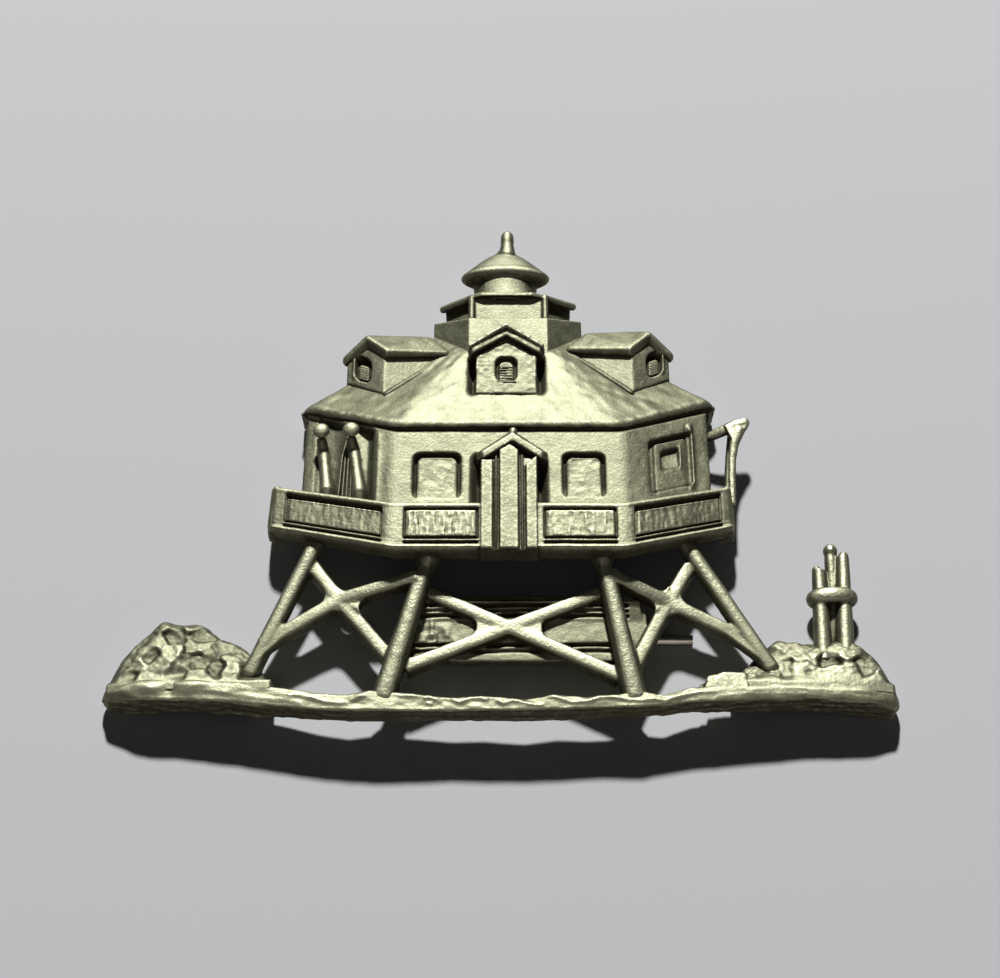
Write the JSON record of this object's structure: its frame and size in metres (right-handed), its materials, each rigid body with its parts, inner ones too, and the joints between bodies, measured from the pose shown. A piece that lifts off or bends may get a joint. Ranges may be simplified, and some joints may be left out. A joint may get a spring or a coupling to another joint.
{
  "type": "pewter brooch",
  "caption": "Cast pewter brooch: a cottage lighthouse on splayed, cross-braced legs over a rocky shore, lying on its back, with a pin fastening behind.",
  "frame": {"origin": "middle of the brooch's width and height, on the surface it lies on: the bottom centre of its box", "axes": "+X to the right along the shore, +Y up the lighthouse towards its finial, +Z out of the face, away from the surface"},
  "size_m": [0.0516, 0.0401, 0.0054],
  "materials": {
    "pewter": "antiqued cast pewter, satin on the high faces and dark brown in the recesses",
    "pin_steel": "dull plated steel"
  },
  "bodies": {
    "root": {"casting": "pewter", "pin_clasp": "pin_steel"}
  },
  "joints": []
}
